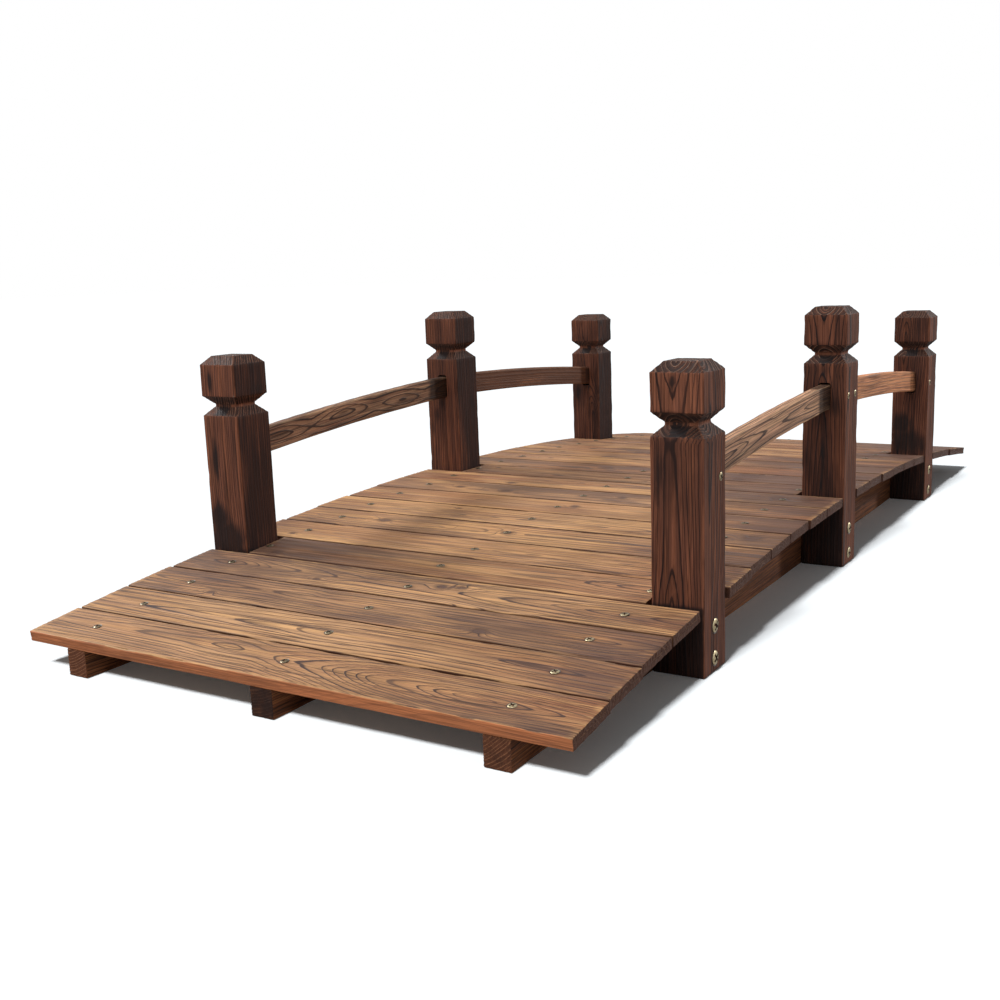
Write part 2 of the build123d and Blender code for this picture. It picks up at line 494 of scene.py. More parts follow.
# Each palette: pale and darker early wood, late wood, scorched, worn, a sawn end and its arcs, and black
DECK = wood("deck_wood", 1, [(190, 146, 106), (142, 93, 64), (50, 33, 33), (94, 70, 60), (230, 178, 120),
                             (78, 48, 35), (100, 66, 47), (66, 36, 25)],
            line=1.0, thin=0.74, steady=0.75, edge=0.9, fine=0.34, golden=0.1, hairs=0.8)
POSTS = wood("post_wood", 2, [(127, 80, 62), (74, 46, 39), (27, 18, 19), (46, 31, 28), (168, 106, 76),
                              (52, 38, 34), (148, 112, 92), (30, 26, 27)],
             line=0.97, thin=0.74, steady=0.85, edge=0.5, fine=0.45, gloss=0.12, golden=0.12, hairs=0.5)
STRIPED = wood("rail_wood", 0, [(198, 150, 120), (138, 98, 78), (38, 23, 21), (74, 56, 48), (230, 186, 144),
                                (80, 56, 44), (120, 90, 66), (32, 17, 12)],
               line=1.0, steady=0.9, edge=0.8, fine=0.5, gloss=0.15, golden=0.2)
PLAIN = wood("plain_rail_wood", 0, [(222, 150, 106), (128, 84, 60), (84, 50, 38), (92, 62, 48),
                                    (222, 160, 116), (80, 56, 44), (120, 90, 66), (40, 30, 28)],
             line=0.7, edge=0.4, fine=0.45, gloss=0.15, golden=0.2)
BEAMS = wood("beam_wood", 0, [(142, 88, 58), (98, 60, 43), (34, 22, 20), (46, 31, 28), (176, 118, 74),
                              (104, 64, 45), (150, 100, 70), (30, 23, 23)],
             edge=0.5, gloss=0.12, golden=0.2)


# ---- deck boards
def screw_spots():
    """Where the screws go through each board, (across it, along it): one over each stringer."""
    rng = np.random.default_rng(7)
    beam_ys = [middle_mm(f"stringer_{side}")[1] for side in ("left", "middle", "right")]
    return {number: [(rng.uniform(-3, 3), y + rng.uniform(-3, 3)) for y in beam_ys]
            for number in range(1, BOARD_COUNT + 1)}


SCREW_SPOTS = screw_spots()


# The nearest boards' pith (along, across, depth) and ring spacing: how deep it lies decides the face's flames
BOARD_PITHS = {
    1: ([(-335, -3, -16), (-215, 0, -4.5), (-140, 2, -15), (-20, 6, -36), (30, 8, -41), (80, 10, -38),
         (140, 8, -41), (335, 4, -43)], 3.3),
    2: ([(-335, -2, -11), (-240, 4, -3.5), (-180, 4, -9), (-100, 6, -8), (0, 2, -6), (60, 0, -14),
         (335, -6, -20)], 6.0),
    3: ([(-335, 6, -12), (-285, 2, -4), (-200, 2, -2.5), (-50, 4, -3), (30, 4, -2), (70, 4, -6), (95, 6, -3),
         (150, 6, -9), (250, 4, -4), (300, 4, -7), (335, 4, -10)], 5.5),
    4: ([(-335, 0, -8), (-270, 0, -14), (-150, 0, -22), (-60, 2, -30), (60, 0, -33), (200, 0, -22),
         (260, 0, -12), (335, 0, -20)], 4.4),
    5: ([(-335, 4, -6), (-240, 4, -14), (-150, 2, -24), (335, 5, -30)], 5.0),
    6: ([(-335, 0, -4), (-270, 0, -9), (-200, 2, -4.5), (-150, 2, -8), (-80, 0, -4), (0, 0, -10),
         (335, 0, -25)], 5.0),
    7: ([(-335, 4, -28), (-20, 0, -26), (40, 0, -15), (180, -2, -6), (230, -2, -3), (335, 0, -14)], 6.0),
}
# Where along a board a large knot lies
LARGE_KNOTS = {7: 182, 8: -305, 11: -268, 13: 60}
# How rubbed a board's -X and +X edges are
RUBBED = {1: (0.85, 0.3), 4: (0.2, 0.9), 5: (0.5, 0.2), 6: (0.9, 0.4), 8: (0.9, 0.2)}
# Scorching and tone at four places from a board's left end to its right, and its warmth
SCORCHING = {1: (-0.1, -0.1, 0.0, 0.2), 2: (-0.2, -0.3, -0.1, 0.3), 3: (0.2, 0.1, 0.1, 0.5),
             4: (0.4, 0.15, 0.0, 0.3), 5: (0.55, 0.35, 0.15, 0.2), 6: (0.1, 0.0, -0.1, 0.4),
             7: (0.1, 0.1, -0.1, 0.6), 8: (0.0, 0.1, -0.2, 0.5), 9: (0.1, -0.1, 0.1, 0.7)}
TONES = {1: (0.5, 0.3, 0.45, 0.95), 2: (0.35, 0.0, 0.25, 0.95), 3: (0.6, 0.3, 0.4, 1.0),
         4: (0.7, 0.25, 0.15, 0.75), 5: (0.9, 0.6, 0.5, 0.75), 6: (0.65, 0.25, 0.15, 0.85),
         7: (0.55, 0.2, 0.0, 0.9), 8: (0.65, 0.15, -0.05, 0.85), 9: (0.6, 0.4, 0.15, 1.0),
         10: (0.45, 0.0, -0.1, 0.8), 11: (0.8, 0.4, 0.25, 1.0), 12: (0.4, 0.2, 0.05, 0.8)}
WARMTH = {4: 0.8, 6: 0.5, 7: 0.7, 8: 0.8}


def board_pith(index, rng):
    if index in BOARD_PITHS:
        return BOARD_PITHS[index]
    stations = [-340, *(s + rng.uniform(-50, 50) for s in (-170, 20, 180)), 340]
    deep, lean = rng.uniform(20, 48), rng.uniform(-18, 18)
    slope = rng.choice((-1, 1)) * rng.uniform(0.01, 0.05)
    path = [(s, lean + rng.uniform(-4, 4), min(-9, -deep + slope * s + rng.uniform(-4, 4))) for s in stations]
    return path, rng.uniform(3.0, 6.4)


def board_knots(index, rng, half):
    """Small random knots, except in the two front boards, and the large one. They run straight down."""
    below, down = -40.0, 90.0
    knots = []
    for _ in range(rng.integers(1, 4) if index > 2 else 0):
        along, across = rng.uniform(-0.85, 0.85) * half, rng.uniform(-26, 26)
        knots.append((along, across, below, down, rng.uniform(2.0, 5.0)))
    if index in LARGE_KNOTS:
        knots.append((LARGE_KNOTS[index], 2.0, below, down, 6.0))
    return knots


def board_mesh(index, rng, half):
    """A board lying along Y with its underside at z = 0, its ends and its edges worn."""
    loop = section_loop(BOARD_WIDTH / 2, 0.0, BOARD_THICK, (1.1, 1.7, 4.5), (1.5, 0.5))
    ragged = Waves(rng, (9, 9, 9))
    trims = rng.uniform(-2.4, 1.6, 2)

    def inset(by):
        return loop * np.array([1 - 2 * by / BOARD_WIDTH, 1 - 2 * by / BOARD_THICK]) + np.array([0, by])

    first, *between, last = spaced(-half, half, 8.0)
    stations = [first, first + 0.15, first + 0.9, *between, last - 0.9, last - 0.15, last]
    shapes = [inset(0.8), inset(0.25), *[loop] * (len(stations) - 4), inset(0.25), inset(0.8)]
    rows = np.array([np.column_stack([shape[:, 0], np.full(len(shape), y), shape[:, 1]])
                     for shape, y in zip(shapes, stations)])
    p = rows.reshape(-1, 3)

    # ends sawn a little out of true, and frayed
    for end, trim in zip((-1, 1), trims):
        reach = np.clip(1 - (half - end * p[:, 1]) / 12.0, 0, 1)
        fray = 0.2 * ragged(np.column_stack([np.full(len(p), end * 31.0), p[:, 0], p[:, 2]]))
        p[:, 1] += end * reach * (trim + fray)

    # long upper edges worn in shallow chips
    chips = Waves(rng, (80, 12, 12), 9)
    spared = 0.1 if index == 1 else 0.45
    for side in (-1, 1):
        at_edge = (side * p[:, 0] > BOARD_WIDTH / 2 - 1.8) & (p[:, 2] > BOARD_THICK - 2.2)
        depth = np.clip(chips(p[at_edge][:, [1, 0, 2]]) - spared, 0, 1) * 0.9
        p[at_edge] -= np.column_stack([side * depth * 0.7, depth * 0, depth])
    return tube_mesh(BOARDS[index - 1], rows[::-1], filled=True)


def on_arch(index):
    """The ways out of the arch and along it at the middle of a board."""
    angle = (index - (BOARD_COUNT + 1) / 2) * BOARD_PITCH / ARCH_RADIUS
    return np.array([math.sin(angle), 0, math.cos(angle)]), np.array([math.cos(angle), 0, -math.sin(angle)])


def make_board(index):
    node = BOARDS[index - 1]
    near = index < 4
    rng = np.random.default_rng(100 + index)
    low, high = box_mm(node)
    half = (high[1] - low[1]) / 2
    path, spacing = board_pith(index, rng)
    grain = Grain(100 + index, path, spacing, board_knots(index, rng, half))
    mesh = board_mesh(index, rng, half)
    if not near:
        p = points_of(mesh)
        calm = np.interp(p[:, 1] / half, (-1, -0.2, 0.5), (0.25, 0.8, 0.9))
        calm = calm * (0.4 if index == 4 else 0.9 if index < 12 else 0.6)
        calm += 0.3 * Waves(np.random.default_rng(500 + index), (60, 420, 60))(p)
        set_attribute(mesh, "calm", np.clip(calm, 0, 1))

    def local(p):
        return p[:, [1, 0, 2]] - np.array([0, 0, BOARD_THICK])

    rubbed = RUBBED.get(index, rng.uniform(0, 0.8, 2))

    def wear(p):
        inward = BOARD_WIDTH / 2 - np.abs(p[:, 0])
        edges = np.clip(1 - np.abs(inward - (1.6 if near else 3.0)) / 1.5, 0, 1)
        edges = (p[:, 2] > BOARD_THICK - 1.2) * edges * np.where(p[:, 0] < 0, *rubbed)
        ends = (p[:, 2] > BOARD_THICK - 0.75) * np.clip(1 - (half - np.abs(p[:, 1])) / 2.5, 0, 1)
        return np.maximum(edges, 0.5 * ends)

    out, along = on_arch(index)
    centre = np.array([0, 0, ARCH_CENTRE_Z]) + out * (ARCH_RADIUS + BOARD_BEDDING)

    def place(p):
        return p @ np.array([along, (0, 1, 0), out]) + centre

    def soot_and_shade(p):
        # The long sides and their rounded arrises are darkened, partly char and dirt and partly painted shade
        # in the gaps; the front board's front face is darkened only a little, more towards its left end, and
        # the last board's far side not at all. Round each screw the top is darkened, partly a stain and
        # partly painted shade of the countersink.
        sides = np.clip((np.abs(p[:, 0]) - BOARD_WIDTH / 2 + (0.8 if near else 1.5)) / 0.6, 0, 1)
        if index == 1:
            front = np.interp(p[:, 1], (-half, -half / 4, half / 2), (0.0, 0.1, 0.35))
            sides *= np.where(p[:, 0] > 0, 1.0, front)
        if index == BOARD_COUNT:
            sides *= p[:, 0] < 0
        screw_stain_and_shade = np.zeros(len(p))
        for x, y in SCREW_SPOTS[index]:
            screw_stain_and_shade = np.maximum(screw_stain_and_shade, np.exp(-((p[:, 0] - x) / 5.5) ** 2 - ((p[:, 1] - y) / 9.0) ** 2))
        return np.maximum(0.95 * sides, 0.7 * screw_stain_and_shade * (p[:, 2] > BOARD_THICK / 2))

    char = SCORCHING.get(index, rng.uniform(-0.2, 0.3, 4) + 0.1 * (index > 9) + np.array([0, 0, 0.1, 0.55]))
    tone = TONES.get(index, rng.uniform(-0.1, 0.9, 4) + 0.15 * (index > 11) + np.array([0, 0, 0.1, 0.3]))
    warm = WARMTH.get(index, rng.uniform(0.0, 0.5))
    if index > 5:
        tone, char = np.add(tone, 0.25), np.add(char, (0.14, 0.1, 0.05, 0.0))

    def look(p):
        stations = (-half, -half / 3, half / 3, half)
        # the front board's front edge is plain from the saw
        plain = (index == 1) & (p[:, 0] < 0.9 - BOARD_WIDTH / 2)
        return np.column_stack([np.where(plain, 0.5, np.interp(p[:, 1], stations, tone[::-1])),
                                np.where(plain, -0.6, np.interp(p[:, 1], stations, char[::-1])),
                                np.where(plain, 2.0, warm)])

    relief = 0.36 if spacing > 3.6 else 0.3
    finish_wood(mesh, local, grain, relief, wear, soot_and_shade, look, place, DECK, node)


for number in range(1, BOARD_COUNT + 1):
    make_board(number)


# ---- posts
def boolean(mesh, cutters):
    """mesh less each cutter mesh, without the slivers that cutting leaves."""
    body = new_object("body", mesh)
    others = [new_object("cutter", cutter) for cutter in cutters]
    for other in others:
        change = body.modifiers.new("cut", "BOOLEAN")
        change.operation, change.solver, change.object = "DIFFERENCE", "MANIFOLD", other
    bpy.context.view_layer.update()
    result = bpy.data.meshes.new_from_object(body.evaluated_get(bpy.context.evaluated_depsgraph_get()))
    result.materials.clear()
    for obj in [body, *others]:
        bpy.data.objects.remove(obj)
    cut = bmesh.new()
    cut.from_mesh(result)
    sliver = 0.02
    bmesh.ops.remove_doubles(cut, verts=cut.verts, dist=sliver)
    bmesh.ops.dissolve_degenerate(cut, dist=sliver, edges=cut.edges)
    bmesh.ops.triangulate(cut, faces=[f for f in cut.faces if len(f.verts) > 4])
    cut.to_mesh(result)
    cut.free()
    return result


def square_loop(step):
    """Corner centres and easing offsets for a square post's outline, side by side."""
    centres, offsets = [], []
    n = int(round(2 * POST_HALF / step))
    for quarter in range(4):
        a = math.radians(90 * quarter)
        c, s = round(math.cos(a)), round(math.sin(a))
        for angle in (-45, -15, 15, 45):
            b = a + math.radians(45 + angle)
            centres.append((c - s, s + c))
            offsets.append((math.cos(b), math.sin(b)))
        for t in np.linspace(1, -1, n + 1)[1:-1]:
            centres.append((c * t - s, s * t + c))
            offsets.append((-s, c))
    return np.array(centres), np.array(offsets)


POST_LOOP = square_loop(1.4)


def post_profile(height):
    """(half width, height) up a post's side, with softened arrises, from the foot to the flat top."""
    soft = 0.45
    top = height - CAP_CHAMFER
    foot = top - HEAD
    shaft = foot - NOTCH
    slope = (NOTCH - NECK) / 2
    w = POST_HALF
    corners = np.array([(w - POST_EASING, 0.0), (w, POST_EASING), (w, shaft),
                        (w - NOTCH_DEPTH, shaft + slope), (w - NOTCH_DEPTH, foot - slope), (w, foot),
                        (w, top), (w - CAP_CHAMFER, height)])
    points = [corners[0]]
    for before, here, after in zip(corners, corners[1:], corners[2:]):
        a = here + (before - here) / math.dist(before, here) * soft
        b = here + (after - here) / math.dist(after, here) * soft
        points += [a, (a + b + here) / 3, b]
    points.append(corners[-1])
    filled = [points[0]]
    for a, b in zip(points, points[1:]):
        n = max(1, int(round(math.dist(a, b) / (5.0 if a[0] == b[0] else 1.5))))
        filled += [a + (b - a) * k / n for k in range(1, n + 1)]
    return np.array(filled)


def mortise_cutter(height, side):
    """The space of a mortise in a post's face at side * X, open beyond the face."""
    middle = height - CAP_CHAMFER - HEAD - NOTCH - MORTISE_DROP - MORTISE_TALL / 2
    outline = []
    for a in range(0, 360, 15):
        c, s = math.cos(math.radians(a + 7.5)), math.sin(math.radians(a + 7.5))
        outline.append((math.copysign(MORTISE_WIDE / 2 - MORTISE_CORNER, c) + MORTISE_CORNER * c,
                        math.copysign(MORTISE_TALL / 2 - MORTISE_CORNER, s) + MORTISE_CORNER * s + middle))
    outline = np.array(outline)
    rows = np.zeros((2, len(outline), 3))
    for i, x in enumerate((POST_HALF + 4.0, POST_HALF - MORTISE_DEEP)):
        rows[i, :, 0] = side * x
        rows[i, :, 1:] = outline if side < 0 else outline[::-1]
    return tube_mesh("mortise", rows)


def make_post(side, where, number):
    node = f"post_{side}_{where}"
    height = box_mm(node)[1][2]
    relief = 0.38
    rng = np.random.default_rng(300 + number)
    profile = post_profile(height)
    flat_top = [(profile[-1][0] * k, height) for k in (0.95, 0.87, 0.77, 0.65, 0.5, 0.34, 0.18, 0.05)]
    centres, offsets = POST_LOOP
    rows = []
    for width, z in [*profile, *flat_top]:
        ease = min(POST_EASING, width * 0.5)
        flat = centres * (width - ease) + offsets * ease
        rows.append(np.column_stack([flat, np.full(len(flat), z)]))
    rows = np.array(rows)
    # arrises bruised here and there
    bruise = Waves(rng, (9, 9, 30), 9)
    p = rows.reshape(-1, 3)
    corner = (np.abs(np.abs(p[:, 0]) - np.abs(p[:, 1])) < 2.4) & (np.abs(p[:, 0]) > POST_CORE)
    depth = np.where(corner, np.clip(bruise(p) - 0.2, 0, 1) * 0.5, 0)
    p[:, :2] -= np.sign(p[:, :2]) * depth[:, None] * 0.7
    mesh = tube_mesh(node, rows, filled=True)
    pith, spacing, stains_and_shadows, looks = POST_WOOD[side, where]
    front_tone, flank_tone_and_shade, front_char, flank_char_and_shade, warm, head_shift = looks
    grain = Grain(300 + number, pith, spacing)

    def local(p):
        return p[:, [2, 0, 1]]

    # brushing first, so that the mortises are cut with clean edges
    normal = points_of(mesh, "normal")
    p = points_of(mesh)
    hollow = (1 - latewood(grain.rings(local(p)))) * relief
    hollow *= 1 - 0.6 * np.clip((np.abs(normal[:, 2]) - 0.8) * 8, 0, 1)
    set_points(mesh, p - normal * hollow[:, None])
    mesh = boolean(mesh, [mortise_cutter(height, s) for s in RAIL_SIDES[where]])

    def wear(p):
        x, y = np.abs(p[:, 0]), np.abs(p[:, 1])
        arris = np.clip(1 - np.abs(x - y) / 2.0, 0, 1)
        above_neck = np.abs(p[:, 2] - (height - CAP_CHAMFER - HEAD - NOTCH / 2))
        neck = np.clip(1.3 - above_neck / NECK, 0, 1)
        return 0.8 * np.maximum(arris, neck) * (np.maximum(x, y) > POST_CORE)

    outward = -1 if side == "right" else 1

    def soot_and_shade(p):
        total = np.zeros(len(p))
        # Listed dark patches: char stains, and on the middle left post a painted shadow of the rail
        for x, y, z, rx, ry, rz, strength in stains_and_shadows:
            q = (p - np.array([x, y, z])) / np.array([rx, ry, rz])
            total = np.maximum(total, strength * np.exp(-(q ** 2).sum(axis=1)))
        # Painted shade: 0.8 black on the faces below the deck except the outward one, full black within the
        # mortises, and half on the slope under the head
        shade_under_deck = (p[:, 2] < DECK_AT_POST[where]) & (outward * p[:, 1] < POST_HALF - POST_EASING)
        inside = (np.abs(p[:, 0]) < POST_HALF - 1.0) & (np.abs(p[:, 1]) < MORTISE_WIDE / 2 + 0.3)
        inside = inside & (p[:, 2] < height - 60)
        shade_under_head = np.clip(1 - np.abs(p[:, 2] - (height - CAP_CHAMFER - HEAD - 5.5)) / 6.5, 0, 1)
        return np.max([total, 0.8 * shade_under_deck, inside, 0.5 * shade_under_head], axis=0)

    def look(p):
        # The -Y face's tone and scorching are partly painted light and shade: darker on the left posts,
        # lighter on the right.
        front, flank = p[:, 0] < -POST_HALF + POST_EASING, p[:, 1] < -POST_HALF + POST_EASING
        head = head_shift * np.clip((p[:, 2] - height + CAP_CHAMFER + HEAD) / 2, 0, 1)
        return np.column_stack([np.where(front, front_tone + head, np.where(flank, flank_tone_and_shade, 0.5)),
                                np.where(flank, flank_char_and_shade, front_char + front * head),
                                np.full(len(p), warm)])

    foot = middle_mm(node) * (1, 1, 0)
    finish_wood(mesh, local, grain, 0, wear, soot_and_shade, look, lambda p: p + foot, POSTS, node)


# Each post's pith (height, x, y), ring spacing, blackened places (x, y, z, three reaches, strength), and
# looks: the tone of the -X and -Y faces, their scorching, the warmth, and how the head's tone differs.
# The blackened places are char stains, and on the middle left post also a painted shadow of the rail; the -Y
# faces' tone and scorching are partly painted light and shade, darker on the left posts and lighter on the
# right
POST_WOOD = {
    ("left", "front"): ([(0, -60, 50), (160, -54, 58), (318, -60, 48)], 3.0,
                        [(-28, 15, 112, 10, 17, 21, 1.25), (-28, 6, 86, 10, 30, 24, 1.35),
                         (-28, 13.5, 186, 8, 5, 28, 1.1), (-28, 13.5, 287, 8, 4.5, 15, 1.1),
                         (10, -28, 274, 20, 8, 10, 0.6)],
                        (0.1, 1.0, 0.0, 0.35, 0.4, -0.15)),
    # On this post the first three patches, a diagonal on the -X face below the rail, are a painted shadow of
    # the rail.
    ("left", "middle"): ([(0, -44, 40), (150, -50, 34), (348, -40, 42)], 3.0,
                         [(-28, 4, 205, 10, 9, 16, 0.65), (-28, 12, 184, 8, 9, 18, 0.7),
                          (-28, 22, 165, 8, 8, 18, 0.6), (10, -28, 190, 12, 10, 40, 0.6)],
                         (0.5, 1.0, 0.15, 0.4, 0.4, 0.0)),
    ("left", "back"): ([(0, -20, -14), (120, -23, -16), (200, -10, -8), (318, -14, 0)], 3.4,
                       [(-28, 18, 168, 8, 13, 24, 0.75), (-28, -3, 200, 8, 8, 26, 0.6)],
                       (0.5, 1.0, 0.15, 0.4, 0.4, 0.1)),
    ("right", "front"): ([(0, -23, 5), (70, -21.7, 6), (119, -17.5, 6), (220, -13.2, 7), (236, -12, 7),
                          (258, -12, 4), (269, -11.6, 4), (290, -13.4, 4), (308, -17, 4), (318, -19, 4)],
                         [(238, 4.0), (262, 5.2)],
                         [(-28, 20, 205, 8, 7, 34, 0.7), (-28, 4, 299, 8, 3.5, 7, 1.0)],
                         (0.45, 0.55, 0.05, 0.15, 0.5, -0.6)),
    ("right", "middle"): ([(0, -24.7, 2), (96, -23.6, 2), (200, -18.6, 2), (250, -14, 2), (266, -12, 2),
                           (288, -12, 2), (299, -11.6, 2), (320, -13.4, 2), (338, -17, 2), (348, -19, 2)],
                          [(268, 4.2), (292, 5.2)],
                          [(-28, 1, 150, 8, 4.5, 60, 0.8), (-28, 1, 262, 8, 3, 13, 0.7),
                           (-28, -16, 222, 8, 9, 20, 0.6), (-28, 2, 331, 8, 3, 7, 0.8)],
                          (0.6, 0.3, 0.15, 0.0, 0.4, -0.2)),
    ("right", "back"): ([(0, -46, 20), (160, -42, 16), (242, -36, 12), (268, -26, 9), (318, -19, 9)], 3.6,
                        [(-28, 12, 130, 10, 18, 19, 1.15), (-28, 0, 98, 10, 40, 34, 0.95)],
                        (0.6, 0.2, 0.1, 0.0, 0.4, 0.0)),
}
DECK_AT_POST = {"front": 74.0, "middle": 96.0, "back": 74.0}
# The sides, -X or +X, on which a rail meets a post
RAIL_SIDES = {"front": (1,), "middle": (-1, 1), "back": (-1,)}

for number, (side, where) in enumerate(POST_WOOD, 1):
    make_post(side, where, number)


# ---- beams and handrails
def make_bar(node, seed, under, over, half_thick, ease, steps, path, spacing, knots, look, soot_and_shade, material):
    """A bar along X between the curves under and over, with plumb ends.
    steps are the mesh's steps across it, up its sides and along it."""
    low, high = box_mm(node)
    centre = (low + high) / 2
    relief = 0.34
    first, *between, last = spaced(low[0], high[0], steps[2])
    xs = np.array([first, first + 0.2, first + 1.0, *between, last - 1.0, last - 0.2, last])
    insets = [1.0, 0.25, *[0.0] * (len(xs) - 4), 0.25, 1.0]
    tall = float(np.max(over(xs) - under(xs)))
    across, v = section_loop(half_thick, 0.0, tall, (steps[0], steps[1], steps[0]), (ease, ease)).T
    share = (v - ease) / (tall - 2 * ease)
    rows = np.zeros((len(xs), len(v), 3))
    for row, x, inset in zip(rows, xs, insets):
        bottom, top = float(under(x)), float(over(x))
        height, mid = top - bottom, (top + bottom) / 2
        z = np.where(v > tall / 2, top - (tall - v), bottom + v)
        z = np.where((v > ease) & (v < tall - ease), bottom + ease + share * (height - 2 * ease), z)
        row[:, 0] = x
        row[:, 1] = across * (1 - inset / half_thick)
        row[:, 2] = mid + (z - mid) * (1 - 2 * inset / height)
    mesh = tube_mesh(node, rows, filled=True)

    def local(p):
        return np.column_stack([p[:, 0] - centre[0], p[:, 1], p[:, 2] - under(p[:, 0])])

    def wear(p):
        near = np.minimum(p[:, 2] - under(p[:, 0]), over(p[:, 0]) - p[:, 2])
        return np.clip(1 - (near + half_thick - np.abs(p[:, 1])) / 3.0, 0, 1)

    finish_wood(mesh, local, Grain(seed, path, spacing, knots), relief, wear, soot_and_shade,
                lambda p: np.tile(look, (len(p), 1)), lambda p: p + centre * (0, 1, 0), material, node)


def arch(x):
    return ARCH_CENTRE_Z + np.sqrt(ARCH_RADIUS ** 2 - np.asarray(x, float) ** 2)


def ground(x):
    return 0.0 * np.asarray(x, float)


# Each beam's pith (along it, across, height), its (tone, scorching, warmth), and how dark its ends are
OUTER_PITH = [(-800, 20, 120), (-300, 10, 90), (200, -4, 110), (800, 16, 100)]
BEAM_WOOD = {
    "left": (OUTER_PITH, (0.2, 0.0, 0.6), 0.1),
    "middle": (OUTER_PITH, (0.4, 0.0, 0.5), 0.75),
    "right": ([(-800, 30, 66), (-300, 40, 90), (200, 34, 110), (800, 26, 100)], (0.5, 0.1, 0.3), 0.35),
}

for number, (side, (path, look, dark)) in enumerate(BEAM_WOOD.items()):
    make_bar(f"stringer_{side}", 500 + number, ground, arch, BEAM_HALF_THICK, 0.7, (2.6, 2.2, 8.0), path, 3.4,
             [(-520, 0, 40, 0, 4.0), (240, 0, 60, 180, 5.0)], look,
             lambda p: dark * (np.abs(p[:, 0]) > HALF_LENGTH - 1.0), BEAMS)


def rail_curves(end_x, middle_height, end_height, direction):
    """The underside and the top of a handrail from a middle post to the end post at end_x."""
    def ceiling(height):
        return height - CAP_CHAMFER - HEAD - NOTCH - MORTISE_DROP

    near_x, far_x = POST_HALF, end_x - POST_HALF
    near_z = ceiling(middle_height) - MORTISE_TALL + RAIL_SEAT_GAP
    far_z = ceiling(end_height) - RAIL_SEAT_GAP - RAIL_DEPTH
    lower, upper = ARCH_RADIUS - RAIL_DEPTH / 2, ARCH_RADIUS + RAIL_DEPTH / 2
    half_chord = math.hypot(far_x - near_x, near_z - far_z) / 2
    slope = math.atan2(near_z - far_z, far_x - near_x)
    drop = math.sqrt(lower ** 2 - half_chord ** 2)
    centre_x = (near_x + far_x) / 2 - drop * math.sin(slope)
    centre_z = (near_z + far_z) / 2 - drop * math.cos(slope)

    def curve(radius):
        return lambda x: centre_z + np.sqrt(radius ** 2 - (direction * np.asarray(x, float) - centre_x) ** 2)

    return curve(lower), curve(upper)


# Each rail's pith (along it, across, height), ring spacing, (tone, scorching, warmth) and wood
RAIL_WOOD = {
    ("left", "front"): ([(-240, -14, 20), (-175, -10, 17), (-110, -19, 14), (-40, -10, 20), (30, -20, 18),
                         (100, -11, 15), (160, -19, 14), (240, -10, 17)], 6.0, (0.85, 0.15, 0.3), STRIPED),
    ("left", "back"): ([(-240, -30, 40), (240, -34, 34)], 3.4, (0.95, 0.75, 0.25), PLAIN),
    ("right", "front"): ([(-240, -9, 16), (-150, -12, 17), (-60, -18, 17), (0, -20, 17), (80, -16, 18),
                          (160, -11, 19), (240, -8.5, 16)], 4.2, (0.25, -0.1, 0.3), STRIPED),
    ("right", "back"): ([(-240, -40, 44), (-60, -36, 40), (240, -42, 34)], 3.6, (0.05, -0.3, 0.9), PLAIN),
}

for number, ((side, where), (path, spacing, look, material)) in enumerate(RAIL_WOOD.items()):
    node = f"rail_{side}_{where}"
    low, high = box_mm(node)
    end_x = abs(middle_mm(f"post_{side}_{where}")[0])
    middle_height, end_height = (box_mm(f"post_{side}_{post}")[1][2] for post in ("middle", where))
    under, over = rail_curves(end_x, middle_height, end_height, -1 if where == "front" else 1)

    # painted shade darkens both ends within the mortises and just out of them, and on the front rails a
    # painted shadow of the middle post reaches a way further out
    def soot_and_shade(p):
        from_low, from_high = p[:, 0] - low[0], high[0] - p[:, 0]
        shade_at_seat = 0.55 * np.clip(1 - (np.minimum(from_low, from_high) - 31.0) / 8.0, 0, 1)
        return np.maximum(shade_at_seat, (where == "front") * np.clip(1 - (from_high - 60.0) / 16.0, 0, 1))

    make_bar(node, 600 + number, under, over, RAIL_THICK / 2, RAIL_EASING, (1.4, 1.2, 6.0), path, spacing, (),
             look, soot_and_shade, material)


# ---- screws
def brass():
    material = bpy.data.materials.new("screw_brass")
    g = Nodes(material)
    place = g.add("ShaderNodeTexCoord").outputs["Object"]
    mottle = g.noise(place, (900, 900, 900), 3.0)
    # darker where painted shade lies in the recesses and where the head is grimy
    dirt_and_shade = g.attribute("dirt_and_shade", "Fac")
    colour = g.mix(g.smooth(mottle, 0.3, 0.7), linear(216, 202, 166), linear(160, 140, 102))
    g.finish(g.add("ShaderNodeBsdfPrincipled", Base_Color=g.mix(dirt_and_shade, colour, linear(52, 42, 34)),
                   Roughness=g.smooth(mottle, 0.2, 0.8, 0.28, 0.5),
                   Metallic=g.smooth(dirt_and_shade, 0.6, 1.0, 0.85, 0.0)))
    return material


def screw_head():
    """A crossed screw head of radius 1 about +Z, with the wood's face at z = 0."""
    profile = [(0.30, -0.62), (1.15, -0.2), (1.17, 0.05), (1.05, 0.0), (1.0, -0.03), (0.99, 0.06),
               (0.90, 0.13), (0.68, 0.2), (0.40, 0.245), (0.12, 0.26)]
    turns = np.linspace(0, 2 * math.pi, 29)[:-1]
    rows = np.array([[(r * math.cos(a), r * math.sin(a), z) for a in turns] for r, z in profile])
    head = tube_mesh("head", rows)
    cutters = []
    for turned in (0, 1):
        shape = []
        for a, b, z in ((0.74, 0.2, 0.4), (0.66, 0.17, -0.08), (0.26, 0.12, -0.3)):
            ring = [(-a, -b, z), (a, -b, z), (a, b, z), (-a, b, z)]
            shape.append([(-y, x, z) for x, y, z in ring] if turned else ring)
        cutters.append(tube_mesh("cross", np.array(shape)[::-1]))
    return boolean(head, cutters)


HEAD_MESH = screw_head()
BRASS = brass()


